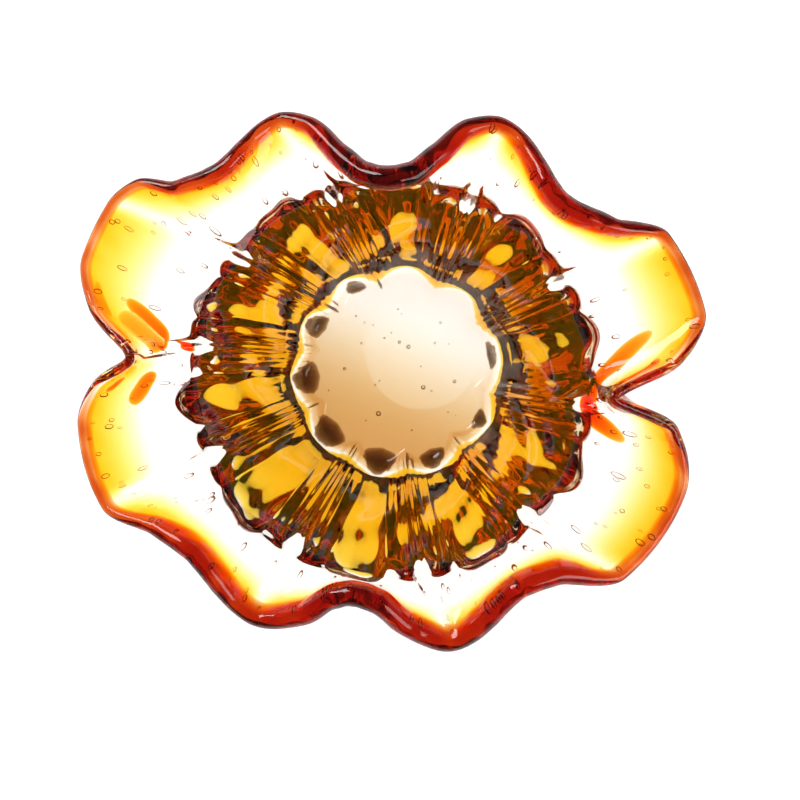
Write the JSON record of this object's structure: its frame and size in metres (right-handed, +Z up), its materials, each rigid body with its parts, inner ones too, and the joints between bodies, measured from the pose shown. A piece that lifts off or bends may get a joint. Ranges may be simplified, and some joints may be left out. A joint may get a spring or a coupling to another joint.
{
  "type": "art glass bowl",
  "caption": "Ruffled art glass bowl: a ribbed amber cup cased in clear glass, a thin flared wall with a pinched rim and a dark wrapped lip. Holds fruit or small things.",
  "frame": {"origin": "centre of the flat foot, on the plane it rests on, under the middle of the rim's outline", "axes": "+Z up, +X along the longer way across the rim, +Y along the shorter way across"},
  "size_m": [0.2511, 0.2156, 0.0974],
  "materials": {
    "foot_glass": "polished, pale honey",
    "amber_glass": "polished, golden amber",
    "casing_glass": "polished, clear",
    "flare_glass": "polished, nearly clear",
    "shading_glass": "polished, yellow to orange",
    "wrap_glass": "polished, dark ruby amber"
  },
  "bodies": {
    "root": {"foot_pad": "foot_glass", "amber_core": "amber_glass", "clear_casing": "casing_glass", "flared_wall": "flare_glass", "lip_shading": "shading_glass", "lip_wrap": "wrap_glass"}
  },
  "joints": []
}
